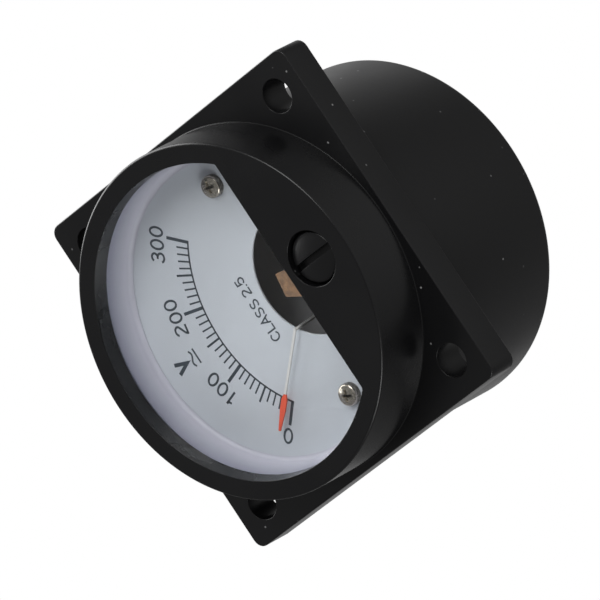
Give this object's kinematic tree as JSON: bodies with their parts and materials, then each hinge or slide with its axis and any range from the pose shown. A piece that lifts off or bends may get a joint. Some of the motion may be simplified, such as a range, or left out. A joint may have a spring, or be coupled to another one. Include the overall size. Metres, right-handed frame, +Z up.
{
  "type": "analog panel voltmeter",
  "caption": "Round-faced analog panel voltmeter, 0 to 300 V, with a square mounting flange, half-moon cover, zero adjuster, round rear body and stud terminals.",
  "frame": {"origin": "centre of the four flange holes, on the meter's axis, in the flange's rear face that bears on the panel", "axes": "the dial faces -Y, the body goes back along +Y, +Z is up and +X is to the right as seen from the front"},
  "size_m": [0.052, 0.0533, 0.052],
  "materials": {
    "black_housing": "satin",
    "black_bezel": "satin",
    "zero_screw_black": "satin",
    "window_clear": "gloss",
    "surround_white": "satin",
    "dial_paint": "satin",
    "nickel": "satin",
    "zinc_steel": "satin",
    "brass": "satin",
    "base_black": "matte",
    "soft_iron": "matte",
    "magnet_grey": "matte",
    "jewel_ruby": "gloss",
    "former_aluminium": "satin",
    "copper_wire": "gloss",
    "pointer_silver": "satin",
    "tip_orange": "satin",
    "spring_bronze": "satin",
    "lever_copper": "satin",
    "board_laminate": "satin",
    "resistor_body": "matte",
    "diode_black": "satin",
    "lead_red": "satin",
    "lead_black": "satin"
  },
  "bodies": {
    "meter_case": {"rear_housing": "black_housing", "front_bezel": "black_bezel", "window": "window_clear", "dial_surround": "surround_white", "dial_plate": "dial_paint", "dial_screws": "nickel", "dial_pillars": "brass", "movement_base": "base_black", "base_screws": "zinc_steel", "yoke_ring": "soft_iron", "core_magnet": "magnet_grey", "front_bridge": "brass", "rear_bridge": "brass", "bridge_screws": "zinc_steel", "jewel_screws": "brass", "jewel_bearings": "jewel_ruby", "jewel_locknuts": "brass", "pointer_stops": "brass", "circuit_board": "board_laminate", "series_resistor": "resistor_body", "rectifier_diodes": "diode_black", "front_lead": "lead_red", "rear_lead": "lead_black", "rear_spring_stud": "brass", "terminal_studs": "brass", "terminal_spacers": "brass", "clamp_washers": "nickel", "clamp_nuts": "nickel", "solder_lugs": "nickel", "spring_washers": "zinc_steel", "terminal_nuts": "nickel"},
    "moving_coil": {"coil_former": "former_aluminium", "coil_winding": "copper_wire", "pivot_hubs": "brass", "pivot_pins": "zinc_steel", "pointer": "pointer_silver", "pointer_tip": "tip_orange", "balance_cross": "former_aluminium", "balance_weights": "brass", "front_hairspring": "spring_bronze", "rear_hairspring": "spring_bronze"},
    "zero_lever_arm": {"zero_lever": "lever_copper", "front_spring_stud": "brass"},
    "zero_screw": {"zero_adjust_screw": "zero_screw_black", "zero_screw_clip": "zinc_steel"}
  },
  "joints": [
    {"name": "pointer_swing", "type": "hinge", "parent": "meter_case", "child": "moving_coil", "pos_m": [0, 0.007, -0.0105], "axis": [0, 1, 0], "range_deg": [-5.3, 81.7], "stiffness_Nm_per_rad": 0.00002, "deforming": ["front_hairspring", "rear_hairspring"]},
    {"name": "zero_adjust", "type": "hinge", "parent": "meter_case", "child": "zero_screw", "pos_m": [0, -0.012, -0.01835], "axis": [0, 1, 0], "range_deg": [-60, 60]},
    {"name": "zero_lever_swing", "type": "hinge", "parent": "meter_case", "child": "zero_lever_arm", "pos_m": [0, -0.005, -0.0105], "axis": [0, 1, 0], "range_deg": [-7.6, 7.6], "deforming": ["front_hairspring"]}
  ],
  "couplings": [
    {"joint": "zero_lever_swing", "follows": "zero_adjust", "ratio": 0.125}
  ]
}
